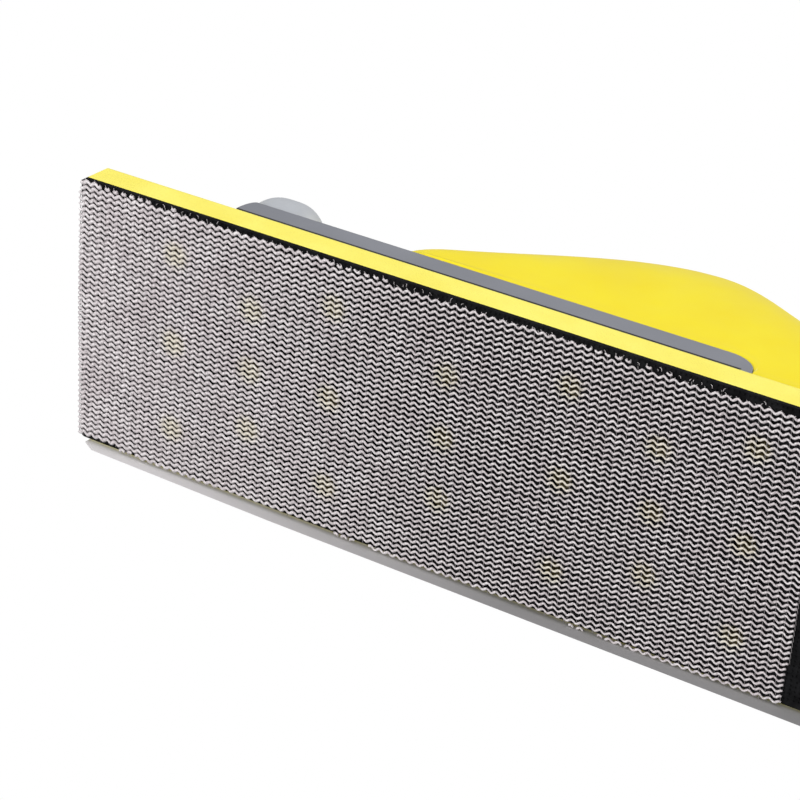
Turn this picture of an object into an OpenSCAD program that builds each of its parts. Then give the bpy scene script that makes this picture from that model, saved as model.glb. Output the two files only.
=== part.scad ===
// Dust-extracting hand sanding block for 70 x 198 mm net abrasives.
// +X runs from the nose to the hose end, +Z from the sanding face to the palm.
// The origin is the centre of the sanding face. Millimetres.

/* [Pad] */
// Length of the pad
pad_l = 212; // [208:1:230]
// Width of the pad
pad_w = 71; // [71:0.5:76]
// Corner radius of the pad, seen from above
pad_corner_r = 1.2; // [0.8:0.2:4]
// Thickness of the yellow foam slab
slab_t = 7.7; // [7.4:0.1:10]
// Thickness of the hook face
hook_t = 1.1; // [0.8:0.05:1.6]
// Diameter of a dust hole
dust_hole_d = 5.4; // [3:0.1:6]

/* [Abrasive] */
// Length of the abrasive net
net_l = 198; // [190:1:200]
// Width of the abrasive net
net_w = 70.5; // [68:0.5:70.5]
// Thickness of the abrasive net
net_t = 0.8; // [0.5:0.05:1.2]
// How far the net reaches past the pad's nose
net_overhang = 0.5; // [0:0.1:1]
// How far the net is laid askew, in degrees
net_skew = 0.3; // [0:0.1:0.3]

/* [Lower housing] */
// Distance from the pad's nose to the lower housing
housing_start = 39; // [38:0.5:39.5]
// Distance from the pad's nose to the rear end of the lower housing
housing_end = 175; // [174:0.5:176]
// Width of the lower housing
housing_w = 70.4; // [69.5:0.1:70.6]
// Height of the lower housing
housing_h = 6; // [6:0.1:6.4]
// Thickness of the base plate between the slab and the lower housing
plate_t = 1.1; // [1.1:0.1:1.3]

/* [Nose] */
// Length of the nose cap
nose_l = 26; // [25:0.5:28]
// Height of the nose cap above the lower housing
nose_h = 18.7; // [18:0.1:19.4]

/* [Handle] */
// Distance from the pad's nose to the foot of the handle's front slope
handle_start = 71; // [70:0.5:72]
// Distance from the pad's nose to the crown of the handle
crown_x = 144; // [142:0.5:146]
// Distance from the pad's nose to the handle's rear end
handle_end = 196; // [195:0.5:197]
// Height of the crown above the sanding face
crown_z = 72.5; // [70:0.5:75]
// Height of the tail above the sanding face
tail_z = 52.2; // [51.8:0.1:54]
// Wall thickness of the handle
shell_t = 2.6; // [2:0.1:3]

/* [Hose port] */
// Outer diameter of the hose spigot, which a hose cuff slides over
spigot_d = 27; // [26:0.5:28]
// Length of the hose spigot's free end
spigot_l = 23; // [18:1:30]
// Height of the hose port's axis above the sanding face
port_z = 32.4; // [32.4:0.1:32.8]
// Travel of the bypass ring, in degrees
bypass_travel = 60; // [55:1:60]

/* [Hidden] */
$fn = 64;

// Colours
yellow = [0.98, 0.9, 0.18];
pale_yellow = [1, 0.95, 0.42];
grey = [0.47, 0.48, 0.51];
light_grey = [0.66, 0.68, 0.7];
black = [0.1, 0.1, 0.11];
steel = [0.75, 0.76, 0.78];
net_grey = [0.72, 0.68, 0.69];

cut = 0.5;        // how far a cutting solid runs past the face it cuts
part_gap = 0.1;   // gap between pieces that lie on each other
run_gap = 0.05;   // radial clearance of a running fit

// Heights above the sanding face
hook_z = net_t + part_gap;
slab_z = hook_z + hook_t;
slab_top = slab_z + slab_t;
plate_z = slab_top;
housing_z = plate_z + plate_t;
deck_z = housing_z + housing_h;

// Dust holes: seven columns of three, mirrored about the middle of the pad
column_offsets = [-77, -54.3, -31.3, 0, 31.3, 54.3, 77];
wide_rows = [-23.5, 0, 23.5];
narrow_rows = [-16, 0, 16];
feeder_r = 2;
feeder_z = slab_z + slab_t / 2;
feeder_reach = 17;
blind_roof = 2;

// Lower housing
wall_t = 2.2;
deck_t = 2;
plate_front_inset = 0.3;
plate_rear_inset = 2.5;
plate_side_reach = 0.1;
seal_w = 1.2;
seal_h = 0.8;
post_r = 3;
chamber_front_wall = 3.5;
chamber_rear_wall = 5;
chamber_start = housing_start + chamber_front_wall - pad_l / 2;
chamber_end = housing_end - chamber_rear_wall - pad_l / 2;
chamber_half_w = housing_w / 2 - wall_t;
seal_in = 0.5;        // width of the rim between the chamber and the seal
nose_round_l = 2;
rear_round_l = 8;
rear_edge_h = 0.3;    // height left upright under the rear rounding
rear_drop = plate_t + housing_h - rear_edge_h;

// Screws: a pilot bore stands for the thread that the screw cuts
screw_r = 1.5;
pilot_r = screw_r + run_gap;
head_r = 2.8;
head_h = 1.9;
drive_r = 1.4;
drive_depth = 1;
plate_screw_l = 3.8;
nose_screw_l = 11;
handle_screw_l = 9;
duct_screw_l = 8;
pilot_spare = 0.5;    // how much deeper a blind pilot bore is than its screw
plate_screw_spots = [for (x = [-40, 0, 40]) for (side = [-1, 1]) [x, side * 28.5]];
handle_screw_spots = [for (x = [-16, 48]) for (side = [-1, 1]) [x, side * 24.5]];
duct_screw_spots = [for (x = [7.5, 52.5]) for (side = [-1, 1]) [x, side * 14]];

// Nose cap
nose_lead = 5.7;      // from the housing's front edge to the middle of the nose cap's foot
nose_mid = housing_start + nose_lead - pad_l / 2;
nose_half_w = 34.5;
nose_lean = 2.4;
nose_n = 3.2;
nose_plan_n = 3;
nose_shoulder = 0.65; // how far the dome's ends stay wide as it rises
nose_foot_share = 0.55;  // share of the dome's front reach that is left at its foot
nose_undercut_h = 6;
nose_boss_h = 15.4;
nose_screw_back = 1;  // how far the nose screws stand behind the middle of the nose cap
nose_screw_spots = [for (side = [-1, 1]) [nose_mid + nose_screw_back, side * 11]];
nose_levels = 12;
nose_steps = 56;

// Handle
handle_n = 3.9;
handle_half_w = 34.9;
arch_steps = 28;
toe_h = 1;            // height of the top line where the front slope starts
rise_n = 1.35;        // hollowness of the front slope
fall_l = 42.5;        // length of the fall from the crown to the tail
front_lead = 1.5;
front_round_l = 22;
tail_round_l = 12;
tail_narrowing = 7;
tail_n = 2.2;
plan_n = 2.6;
edge_share = 0.25;    // share of the wall that is left at the front edge
edge_fade_l = 12;
boss_r = 4;
boss_h = 8;
rib_t = 2;
rib_reach = 33.6;
inlay_mid = 141;
inlay_half_l = 33;
inlay_steps = 16;
inlay_max_reach = 30;
inlay_t = 1.2;

// Dust duct
duct_foot_z = deck_z + 1;
plenum_front = 12;
plenum_rear = 48;
plenum_half_w = 18;
plenum_top = 48.2;
duct_t = 2;
foot_t = 2;
foot_margin = 9;
tube_r = 14.5;
tube_bore_r = 13.3;
tube_end = 222;
socket_x = 212.5;
sleeve_r = 12.5;
socket_r = sleeve_r + run_gap;
window_sides = [90, 270];
window_angle = 48;
window_x = 201.5;
window_l = 6;
stop_x = 208.8;
stop_l = 1.2;
stop_r = 15.4;
stop_angle = 4;
stop_play = 1;        // play of the bypass ring at each stop, in degrees
ridge_x = 210.9;
ridge_l = 0.8;
ridge_r = 14.9;

// Tail cap, bypass ring and spigot
cap_t = 2.6;
lip_l = 3.5;
lip_t = 2;
friction_t = 0.5;
ring_x = handle_end + cap_t + friction_t + part_gap;
ring_end = 210.7;
ring_r = 17.5;
washer_inset = 0.6;
grip_r = 0.9;
washer_t = 0.5;
sleeve_x = 210.2;
spigot_bore_r = 10.4;
collar_l = 3;
collar_r = 15.6;
collar_x = tube_end + washer_t + part_gap;
chamfer_l = 1;
clip_x = 211.2;
clip_l = 1.2;
clip_r = 13;
clip_groove_r = 11.7;
clip_gap = 4;
grips = 24;
grip_margin = 4;      // least angle between a grip groove and a window
collar_notches = 12;
o_ring_x = 217.6;
o_ring_r = 0.6;

function clamp01(t) = min(1, max(0, t));
function smooth(t) = let (u = clamp01(t)) u * u * (3 - 2 * u);
function signed_pow(v, e) = sign(v) * pow(abs(v), e);
function column_rows(i) = i % 2 == 0 ? wide_rows : narrow_rows;
function last(v) = v[len(v) - 1];

// A superellipse arch over the handle from +Y to -Y, as [y, z] points
function arch(half_w, base, top, reach = 90) = [
    for (i = [0:arch_steps])
        let (a = 90 - reach + 2 * reach * i / arch_steps)
        [
            half_w * signed_pow(cos(a), 2 / handle_n),
            base + (top - base) * pow(abs(sin(a)), 2 / handle_n)
        ]
];

// Height of the handle's top line: a long rise to the crown, then down to the tail
function handle_top(x) =
    x < crown_x
        ? deck_z + part_gap + toe_h + (crown_z - deck_z - part_gap - toe_h)
            * pow(sin(90 * clamp01((x - handle_start) / (crown_x - handle_start))), rise_n)
        : crown_z - (crown_z - tail_z) * smooth((x - crown_x) / fall_l);

// Half width of the handle, rounded in at the front and at the rear corners
function handle_half(x) =
    let (front = clamp01((x - handle_start + front_lead) / front_round_l))
    let (rear = clamp01((x - handle_end + tail_round_l) / tail_round_l))
    (handle_half_w - tail_narrowing * pow(rear, tail_n)) * pow(1 - pow(1 - front, plan_n), 1 / plan_n);

// Height of the handle's lower edge, which drops behind the housing's rounded end
function handle_base(x) =
    let (t = (x - housing_end + rear_round_l - part_gap) / rear_round_l)
    t <= 0 ? deck_z + part_gap
    : t < 1 ? deck_z + part_gap - rear_drop * (1 - sqrt(1 - t * t))
    : slab_top + part_gap;

// The wall thins where the front slope runs out to an edge
function handle_wall(x) = shell_t * clamp01(edge_share + (x - handle_start) / edge_fade_l);

inlay_stations = [
    for (i = [0:inlay_steps]) inlay_mid - inlay_half_l * cos(180 * i / inlay_steps)
];

// Cross sections of the handle: front slope, long middle, the step over the
// housing's rear rounding, and the tail
slope_end = handle_start + front_round_l;
step_start = housing_end - rear_round_l;
tail_start = housing_end + 1;
handle_stations = concat(
    [for (t = [0:1/8:1]) handle_start + front_round_l * pow(t, 1.6)],
    [for (t = [1/14:1/14:1.01]) slope_end + (step_start - slope_end) * t],
    [for (a = [11.25:11.25:90]) step_start + part_gap + rear_round_l * sin(a)],
    [for (a = [15:15:90]) tail_start + (handle_end - tail_start) * sin(a)]
);

module from_nose() {
    translate([-pad_l / 2, 0, 0]) children();
}

// Local X, Y and Z become Y, Z and X, at a distance from the pad's nose
module along_x(x, z = port_z) {
    from_nose() translate([x, 0, z]) rotate([90, 0, 90]) children();
}

module rounded_plate(l, w, r, h) {
    linear_extrude(h) union() {
        square([l - 2 * r, w], center = true);
        square([l, w - 2 * r], center = true);
        for (sx = [-1, 1])
            for (sy = [-1, 1])
                translate([sx * (l / 2 - r), sy * (w / 2 - r)]) circle(r);
    }
}

module ring(r_out, r_in, h) {
    difference() {
        cylinder(r = r_out, h = h);
        translate([0, 0, -cut]) cylinder(r = r_in, h = h + 2 * cut);
    }
}

module at_spots(spots) {
    for (spot = spots) translate([spot[0], spot[1], 0]) children();
}

// Outermost columns lie beyond the chamber, so they stop short of the slab's top
module dust_holes(z_low, z_high, with_ends = true) {
    for (i = [0:len(column_offsets) - 1])
        if (with_ends || abs(column_offsets[i]) < last(column_offsets))
            for (y = column_rows(i))
                translate([column_offsets[i], y, z_low]) cylinder(d = dust_hole_d, h = z_high - z_low);
}

// Vertical ports that bring the outermost columns up into the chamber
module end_ports(z_low, z_high) {
    for (side = [-1, 1])
        for (y = wide_rows)
            translate([side * (last(column_offsets) - feeder_reach), y, z_low])
                cylinder(r = feeder_r, h = z_high - z_low);
}

// A closed shell from two stacks of open loops with the same number of points,
// each stack running along the part: outer loops, then inner loops
module loft_shell(outer, inner) {
    n = len(outer[0]);
    m = len(outer);
    points = concat([for (loop = outer) each loop], [for (loop = inner) each loop]);
    o = function(s, i) s * n + i;
    p = function(s, i) m * n + s * n + i;
    faces = concat(
        [for (s = [0:m - 2]) for (i = [0:n - 2]) each [
            [o(s, i), o(s + 1, i + 1), o(s, i + 1)], [o(s, i), o(s + 1, i), o(s + 1, i + 1)],
            [p(s, i), p(s, i + 1), p(s + 1, i + 1)], [p(s, i), p(s + 1, i + 1), p(s + 1, i)]
        ]],
        [for (s = [0:m - 2]) each [
            [o(s, 0), p(s + 1, 0), o(s + 1, 0)], [o(s, 0), p(s, 0), p(s + 1, 0)],
            [o(s, n - 1), o(s + 1, n - 1), p(s + 1, n - 1)], [o(s, n - 1), p(s + 1, n - 1), p(s, n - 1)]
        ]],
        [for (i = [0:n - 2]) each [
            [o(0, i), o(0, i + 1), p(0, i + 1)], [o(0, i), p(0, i + 1), p(0, i)],
            [o(m - 1, i), p(m - 1, i + 1), o(m - 1, i + 1)], [o(m - 1, i), p(m - 1, i), p(m - 1, i + 1)]
        ]]
    );
    polyhedron(points = points, faces = faces);
}

// The handle's arch at distance x from the nose, moved out by grow
function handle_loop(x, grow = 0, reach = 90) = [
    for (p = arch(handle_half(x) + grow, handle_base(x), handle_top(x) + grow, reach))
        [x - pad_l / 2, p[0], p[1]]
];

// Half of the angle that the palm inlay covers, which gives it rounded ends
function inlay_reach(x) =
    let (t = (x - inlay_mid) / inlay_half_l)
    inlay_max_reach * pow(max(0.001, 1 - pow(abs(t), plan_n)), 1 / plan_n);

// Nose cap: rings of a dome whose crown leans towards the nose
function nose_point(a, rise, half_l, half_w, height) =
    let (spread = pow(cos(rise), 2 / nose_n))
    let (z = pow(sin(rise), 2 / nose_n))
    let (front = nose_foot_share + (1 - nose_foot_share) * sin(90 * clamp01(height * z / nose_undercut_h)))
    [
        nose_mid + half_l * signed_pow(cos(a), 2 / nose_plan_n) * spread * (cos(a) < 0 ? front : 1)
            - nose_lean * z * z,
        half_w * signed_pow(sin(a), 2 / nose_plan_n)
            * ((1 - nose_shoulder) * spread + nose_shoulder * sqrt(spread)),
        deck_z + part_gap + height * z
    ];

function nose_rings(thin) = [
    for (k = [0:nose_levels - 1])
        [for (j = [0:nose_steps - 1])
            nose_point(
                360 * j / nose_steps, 90 * k / nose_levels,
                nose_l / 2 - thin, nose_half_w - thin, nose_h - thin
            )]
];

// A closed dome shell from outer and inner rings and the two crown points
module dome_shell(outer, inner, outer_crown, inner_crown) {
    n = len(outer[0]);
    m = len(outer);
    points = concat(
        [for (loop = outer) each loop], [for (loop = inner) each loop], [outer_crown, inner_crown]
    );
    o = function(k, j) k * n + j % n;
    p = function(k, j) (m + k) * n + j % n;
    faces = concat(
        [for (k = [0:m - 2]) for (j = [0:n - 1]) each [
            [o(k, j), o(k + 1, j + 1), o(k, j + 1)], [o(k, j), o(k + 1, j), o(k + 1, j + 1)],
            [p(k, j), p(k, j + 1), p(k + 1, j + 1)], [p(k, j), p(k + 1, j + 1), p(k + 1, j)]
        ]],
        [for (j = [0:n - 1]) each [
            [o(m - 1, j), 2 * m * n, o(m - 1, j + 1)], [p(m - 1, j), p(m - 1, j + 1), 2 * m * n + 1],
            [o(0, j), o(0, j + 1), p(0, j + 1)], [o(0, j), p(0, j + 1), p(0, j)]
        ]]
    );
    polyhedron(points = points, faces = faces);
}

// A pan-head screw pointing up, its head's flat side at z = 0
module pan_screw(length) {
    difference() {
        union() {
            translate([0, 0, -head_h]) cylinder(r = head_r, h = head_h);
            cylinder(r = screw_r, h = length);
        }
        translate([0, 0, -head_h - cut]) cylinder(r = drive_r, h = drive_depth + cut, $fn = 6);
    }
}

// Bores for screws of a given length whose heads lie under the deck
module blind_pilots(spots, length) {
    at_spots(spots) translate([0, 0, deck_z - deck_t]) cylinder(r = pilot_r, h = length + pilot_spare);
}

module countersunk_screw(length) {
    difference() {
        union() {
            cylinder(r1 = head_r, r2 = screw_r, h = plate_t);
            translate([0, 0, plate_t]) cylinder(r = screw_r, h = length);
        }
        translate([0, 0, -cut]) cylinder(r = drive_r, h = drive_depth + cut, $fn = 6);
    }
}

module abrasive_net() {
    color(net_grey)
        from_nose() translate([-net_overhang, part_gap - pad_w / 2, 0])
            rotate([0, 0, net_skew]) cube([net_l, net_w, net_t]);
}

module hook_face() {
    color(black) difference() {
        translate([0, 0, hook_z]) rounded_plate(pad_l, pad_w, pad_corner_r, hook_t);
        dust_holes(hook_z - cut, slab_z + cut);
    }
}

module pad_slab() {
    color(pale_yellow) difference() {
        translate([0, 0, slab_z]) rounded_plate(pad_l, pad_w, pad_corner_r, slab_t);
        dust_holes(slab_z - cut, slab_top - blind_roof);
        dust_holes(feeder_z, slab_top + cut, with_ends = false);
        end_ports(feeder_z, slab_top + cut);
        for (side = [-1, 1])
            for (y = wide_rows)
                translate([side * (last(column_offsets) - feeder_reach), y, feeder_z])
                    rotate([0, side * 90, 0]) cylinder(r = feeder_r, h = feeder_reach);
    }
}

module base_plate_outline() {
    translate([housing_start + plate_front_inset - pad_l / 2, -housing_w / 2 - plate_side_reach])
        square([
            housing_end - housing_start - plate_front_inset - plate_rear_inset,
            housing_w + 2 * plate_side_reach
        ]);
}

module base_plate() {
    color(black) difference() {
        translate([0, 0, plate_z]) linear_extrude(plate_t) base_plate_outline();
        dust_holes(plate_z - cut, housing_z + cut, with_ends = false);
        end_ports(plate_z - cut, housing_z + cut);
        at_spots(plate_screw_spots) {
            translate([0, 0, plate_z]) cylinder(r1 = head_r + run_gap, r2 = screw_r + run_gap, h = plate_t);
            translate([0, 0, plate_z - cut]) cylinder(r = pilot_r, h = plate_t + 2 * cut);
        }
    }
}

module base_plate_screws() {
    color(steel) at_spots(plate_screw_spots) translate([0, 0, plate_z]) countersunk_screw(plate_screw_l);
}

// The chamber's outline, shrunk or grown, between two heights
module chamber_block(grow, z_low, z_high) {
    translate([chamber_start - grow, -chamber_half_w - grow, z_low])
        cube([chamber_end - chamber_start + 2 * grow, 2 * (chamber_half_w + grow), z_high - z_low]);
}

module chamber_seal() {
    color(black) difference() {
        chamber_block(seal_in + seal_w, housing_z, housing_z + seal_h);
        chamber_block(seal_in, housing_z - cut, housing_z + seal_h + cut);
    }
}

// Side view of the lower housing in X and Z: its rear end reaches down behind the base plate
module housing_side() {
    x_low = housing_start - pad_l / 2;
    x_high = housing_end - pad_l / 2;
    steps = 10;
    polygon(concat(
        [for (i = [0:steps])
            let (a = 90 * i / steps)
            [x_low + nose_round_l * (1 - cos(a)), housing_z + housing_h * sin(a)]],
        [for (i = [0:steps])
            let (a = 90 * i / steps)
            [x_high - rear_round_l * (1 - sin(a)), deck_z - rear_drop * (1 - cos(a))]],
        [[x_high, plate_z], [x_high - plate_rear_inset, plate_z], [x_high - plate_rear_inset, housing_z]]
    ));
}

module lower_housing() {
    color(grey) difference() {
        union() {
            difference() {
                translate([0, housing_w / 2, 0]) rotate([90, 0, 0]) linear_extrude(housing_w) housing_side();
                chamber_block(0, housing_z - cut, deck_z - deck_t);
                chamber_block(
                    seal_in + seal_w + part_gap / 2, housing_z - cut, housing_z + seal_h + part_gap / 2
                );
            }
            difference() {
                chamber_block(seal_in - part_gap / 2, housing_z, housing_z + 2 * seal_h);
                chamber_block(0, housing_z - cut, deck_z);
            }
            at_spots(concat(plate_screw_spots, duct_screw_spots))
                translate([0, 0, housing_z]) cylinder(r = post_r, h = deck_z - deck_t / 2 - housing_z);
        }
        at_spots(concat(plate_screw_spots, duct_screw_spots))
            translate([0, 0, housing_z - cut]) cylinder(r = pilot_r, h = deck_z - deck_t - housing_z + cut);
        at_spots(concat(nose_screw_spots, handle_screw_spots, duct_screw_spots))
            translate([0, 0, housing_z - cut]) cylinder(r = pilot_r, h = housing_h + 2 * cut);
        duct_mouth(deck_z - deck_t - cut, deck_z + cut);
    }
}

module nose_cap() {
    color(light_grey) difference() {
        union() {
            dome_shell(
                nose_rings(0), nose_rings(shell_t),
                nose_point(0, 90, nose_l / 2, nose_half_w, nose_h),
                nose_point(0, 90, nose_l / 2 - shell_t, nose_half_w - shell_t, nose_h - shell_t)
            );
            at_spots(nose_screw_spots)
                translate([0, 0, deck_z + part_gap]) cylinder(r = boss_r, h = nose_boss_h);
        }
        blind_pilots(nose_screw_spots, nose_screw_l);
    }
}

module nose_screws() {
    color(steel) at_spots(nose_screw_spots) translate([0, 0, deck_z - deck_t]) pan_screw(nose_screw_l);
}

module handle_shell() {
    color(yellow) difference() {
        union() {
            loft_shell(
                [for (x = handle_stations) handle_loop(x)],
                [for (x = handle_stations) handle_loop(x, -handle_wall(x))]
            );
            at_spots(handle_screw_spots)
                translate([0, 0, deck_z + part_gap]) cylinder(r = boss_r, h = boss_h);
            for (spot = handle_screw_spots)
                translate([spot[0] - rib_t / 2, sign(spot[1]) > 0 ? spot[1] : -rib_reach, deck_z + part_gap])
                    cube([rib_t, rib_reach - abs(spot[1]), boss_h]);
        }
        blind_pilots(handle_screw_spots, handle_screw_l);
    }
}

module palm_inlay() {
    color(grey)
        loft_shell(
            [for (x = inlay_stations) handle_loop(x, inlay_t, inlay_reach(x))],
            [for (x = inlay_stations) handle_loop(x, 2 * part_gap, inlay_reach(x))]
        );
}

module handle_screws() {
    color(steel) at_spots(handle_screw_spots) translate([0, 0, deck_z - deck_t]) pan_screw(handle_screw_l);
}

module duct_foot_outline() {
    translate([plenum_front - foot_margin, -plenum_half_w])
        square([plenum_rear - plenum_front + 2 * foot_margin, 2 * plenum_half_w]);
}

module duct_mouth(z_low, z_high) {
    translate([plenum_front + duct_t, -plenum_half_w + duct_t, z_low])
        cube([plenum_rear - plenum_front - 2 * duct_t, 2 * (plenum_half_w - duct_t), z_high - z_low]);
}

// A slot through a tube's wall, centred on an angle
module window(angle, r_in, r_out, length) {
    rotate([0, 0, angle - window_angle / 2])
        rotate_extrude(angle = window_angle) translate([r_in, 0]) square([r_out - r_in, length]);
}

module dust_duct() {
    color(black) difference() {
        union() {
            translate([0, 0, duct_foot_z]) linear_extrude(foot_t) duct_foot_outline();
            translate([plenum_front, -plenum_half_w, duct_foot_z])
                cube([plenum_rear - plenum_front, 2 * plenum_half_w, plenum_top - duct_foot_z]);
            along_x(plenum_rear + pad_l / 2 - duct_t)
                cylinder(r = tube_r, h = tube_end - plenum_rear - pad_l / 2 + duct_t);
            along_x(ridge_x) cylinder(r = ridge_r, h = ridge_l);
            along_x(stop_x) rotate([0, 0, window_sides[0] - stop_angle / 2])
                rotate_extrude(angle = stop_angle) translate([tube_r - cut, 0])
                    square([stop_r - tube_r + cut, stop_l]);
        }
        duct_mouth(duct_foot_z - cut, plenum_top - duct_t);
        along_x(plenum_rear + pad_l / 2 - 2 * duct_t)
            cylinder(r = tube_bore_r, h = socket_x - plenum_rear - pad_l / 2 + 2 * duct_t);
        along_x(socket_x - cut) cylinder(r = socket_r, h = tube_end - socket_x + 2 * cut);
        for (side = window_sides) along_x(window_x) window(side, tube_bore_r - cut, tube_r + cut, window_l);
        at_spots(duct_screw_spots) translate([0, 0, duct_foot_z - cut])
            cylinder(r = pilot_r, h = foot_t + 2 * cut);
    }
}

module duct_seal() {
    color(black) difference() {
        translate([0, 0, deck_z]) linear_extrude(duct_foot_z - deck_z) duct_foot_outline();
        duct_mouth(deck_z - cut, duct_foot_z + cut);
        at_spots(duct_screw_spots) translate([0, 0, deck_z - cut])
            cylinder(r = pilot_r, h = duct_foot_z - deck_z + 2 * cut);
    }
}

module duct_screws() {
    color(steel) at_spots(duct_screw_spots)
        translate([0, 0, duct_foot_z + foot_t]) mirror([0, 0, 1]) pan_screw(duct_screw_l);
}

module cap_outline(shrink) {
    polygon(arch(
        handle_half(handle_end) - shrink, handle_base(handle_end) + (shrink > 0 ? part_gap : 0),
        handle_top(handle_end) - shrink
    ));
}

module tail_cap() {
    color(grey) difference() {
        union() {
            along_x(handle_end + part_gap / 2, 0) linear_extrude(cap_t) cap_outline(0);
            along_x(handle_end - lip_l, 0) linear_extrude(lip_l + cap_t / 2) cap_outline(shell_t + part_gap);
        }
        along_x(handle_end - lip_l - cut, 0) linear_extrude(lip_l + cut)
            cap_outline(shell_t + part_gap + lip_t);
        along_x(handle_end - lip_l - cut) cylinder(r = tube_r + run_gap, h = lip_l + cap_t + 2 * cut);
    }
}

module bypass_washer() {
    color(black) along_x(handle_end + cap_t + part_gap / 2)
        ring(ring_r - washer_inset, tube_r + run_gap, friction_t);
}

// Angle from the nearer of the bypass ring's two opposite windows
function window_distance(angle) = abs((angle + bypass_travel) % 180 - window_sides[0]);

module bypass_ring() {
    color(grey) difference() {
        along_x(ring_x) ring(ring_r, tube_r + run_gap, ring_end - ring_x);
        for (side = window_sides)
            along_x(window_x) window(side - bypass_travel, tube_r - cut, ring_r + cut, window_l);
        along_x(stop_x - part_gap)
            rotate([0, 0, window_sides[0] - bypass_travel - stop_angle / 2 - stop_play])
                rotate_extrude(angle = bypass_travel + stop_angle + 2 * stop_play)
                    translate([tube_r - cut, 0])
                        square([stop_r + part_gap - tube_r + cut, ring_end - stop_x + cut]);
        for (i = [0:grips - 1])
            if (window_distance(i * 360 / grips) > window_angle / 2 + grip_margin)
                along_x(ring_x - cut) rotate([0, 0, i * 360 / grips]) translate([ring_r + grip_r / 3, 0])
                    cylinder(r = grip_r, h = ring_end - ring_x + 2 * cut);
    }
}

module hose_spigot() {
    color(black) difference() {
        union() {
            along_x(sleeve_x) cylinder(r = sleeve_r, h = collar_x - sleeve_x + cut);
            along_x(collar_x) cylinder(r = collar_r, h = collar_l);
            along_x(collar_x + collar_l - cut) cylinder(d = spigot_d, h = spigot_l - chamfer_l + cut);
            along_x(collar_x + collar_l + spigot_l - chamfer_l)
                cylinder(d1 = spigot_d, d2 = spigot_d - chamfer_l, h = chamfer_l);
        }
        along_x(sleeve_x - cut)
            cylinder(r = spigot_bore_r, h = collar_x + collar_l + spigot_l - sleeve_x + 2 * cut);
        along_x(clip_x) ring(sleeve_r + cut, clip_groove_r, clip_l);
        along_x(o_ring_x - o_ring_r - part_gap)
            ring(sleeve_r + cut, sleeve_r - 2 * o_ring_r, 2 * (o_ring_r + part_gap));
        for (i = [0:collar_notches - 1])
            along_x(collar_x - cut) rotate([0, 0, i * 360 / collar_notches])
                translate([collar_r + grip_r / 3, 0]) cylinder(r = grip_r, h = collar_l + 2 * cut);
    }
}

module spigot_o_ring() {
    color(black) along_x(o_ring_x)
        rotate_extrude() translate([sleeve_r + run_gap / 2 - o_ring_r, 0]) circle(o_ring_r, $fn = 24);
}

module spigot_clip() {
    color(steel) difference() {
        along_x(clip_x + part_gap / 2) ring(clip_r, clip_groove_r, clip_l - part_gap);
        along_x(clip_x - cut) translate([0, -clip_gap / 2, 0]) cube([ring_r, clip_gap, clip_l + 2 * cut]);
    }
}

module thrust_washer() {
    color("white") along_x(tube_end) ring(tube_r, sleeve_r + 2 * run_gap, washer_t);
}

abrasive_net();
hook_face();
pad_slab();
base_plate();
base_plate_screws();
chamber_seal();
lower_housing();
nose_cap();
nose_screws();
handle_shell();
palm_inlay();
handle_screws();
dust_duct();
duct_seal();
duct_screws();
tail_cap();
bypass_washer();
bypass_ring();
hose_spigot();
spigot_o_ring();
spigot_clip();
thrust_washer();
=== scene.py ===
"""Looks of a hand sanding block with dust extraction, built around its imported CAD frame.

Everything is in metres in the CAD frame: +X from the nose to the hose end, +Z from the
sanding face to the palm. Lengths written in millimetres are multiplied by MM.
"""
import math

import bpy
import numpy as np
from mathutils import Matrix, Vector


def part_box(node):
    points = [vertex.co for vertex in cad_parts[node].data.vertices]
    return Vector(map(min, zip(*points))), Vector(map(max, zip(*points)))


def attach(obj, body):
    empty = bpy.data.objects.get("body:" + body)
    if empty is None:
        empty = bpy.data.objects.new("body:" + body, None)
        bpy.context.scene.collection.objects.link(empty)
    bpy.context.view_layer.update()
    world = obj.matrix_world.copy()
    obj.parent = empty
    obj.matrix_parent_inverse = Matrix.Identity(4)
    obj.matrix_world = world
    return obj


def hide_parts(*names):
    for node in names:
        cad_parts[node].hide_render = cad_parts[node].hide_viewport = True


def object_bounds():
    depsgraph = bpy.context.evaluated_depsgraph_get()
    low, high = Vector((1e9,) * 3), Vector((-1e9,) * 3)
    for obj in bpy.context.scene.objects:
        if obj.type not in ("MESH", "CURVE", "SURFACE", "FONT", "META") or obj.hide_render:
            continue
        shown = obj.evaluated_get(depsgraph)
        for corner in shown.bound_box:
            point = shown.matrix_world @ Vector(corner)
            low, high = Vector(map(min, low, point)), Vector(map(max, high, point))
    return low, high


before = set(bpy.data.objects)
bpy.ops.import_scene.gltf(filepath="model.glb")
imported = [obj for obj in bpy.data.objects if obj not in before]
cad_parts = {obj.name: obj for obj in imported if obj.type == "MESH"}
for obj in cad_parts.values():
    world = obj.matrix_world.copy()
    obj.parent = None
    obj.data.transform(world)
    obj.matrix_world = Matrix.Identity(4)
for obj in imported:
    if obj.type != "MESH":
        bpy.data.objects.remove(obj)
cad_low, cad_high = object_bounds()

MM = 0.001

# Camera and light
VIEW_AZIMUTH = 44.93
VIEW_ELEVATION = -49.78
VIEW_ROLL = 56.55
VIEW_DISTANCE = 0.5897
VIEW_AIM = Vector((-0.01534, -0.00245, 0.00633))
LENS = 113.53
STAGE_GAP = 0.0002

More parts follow.
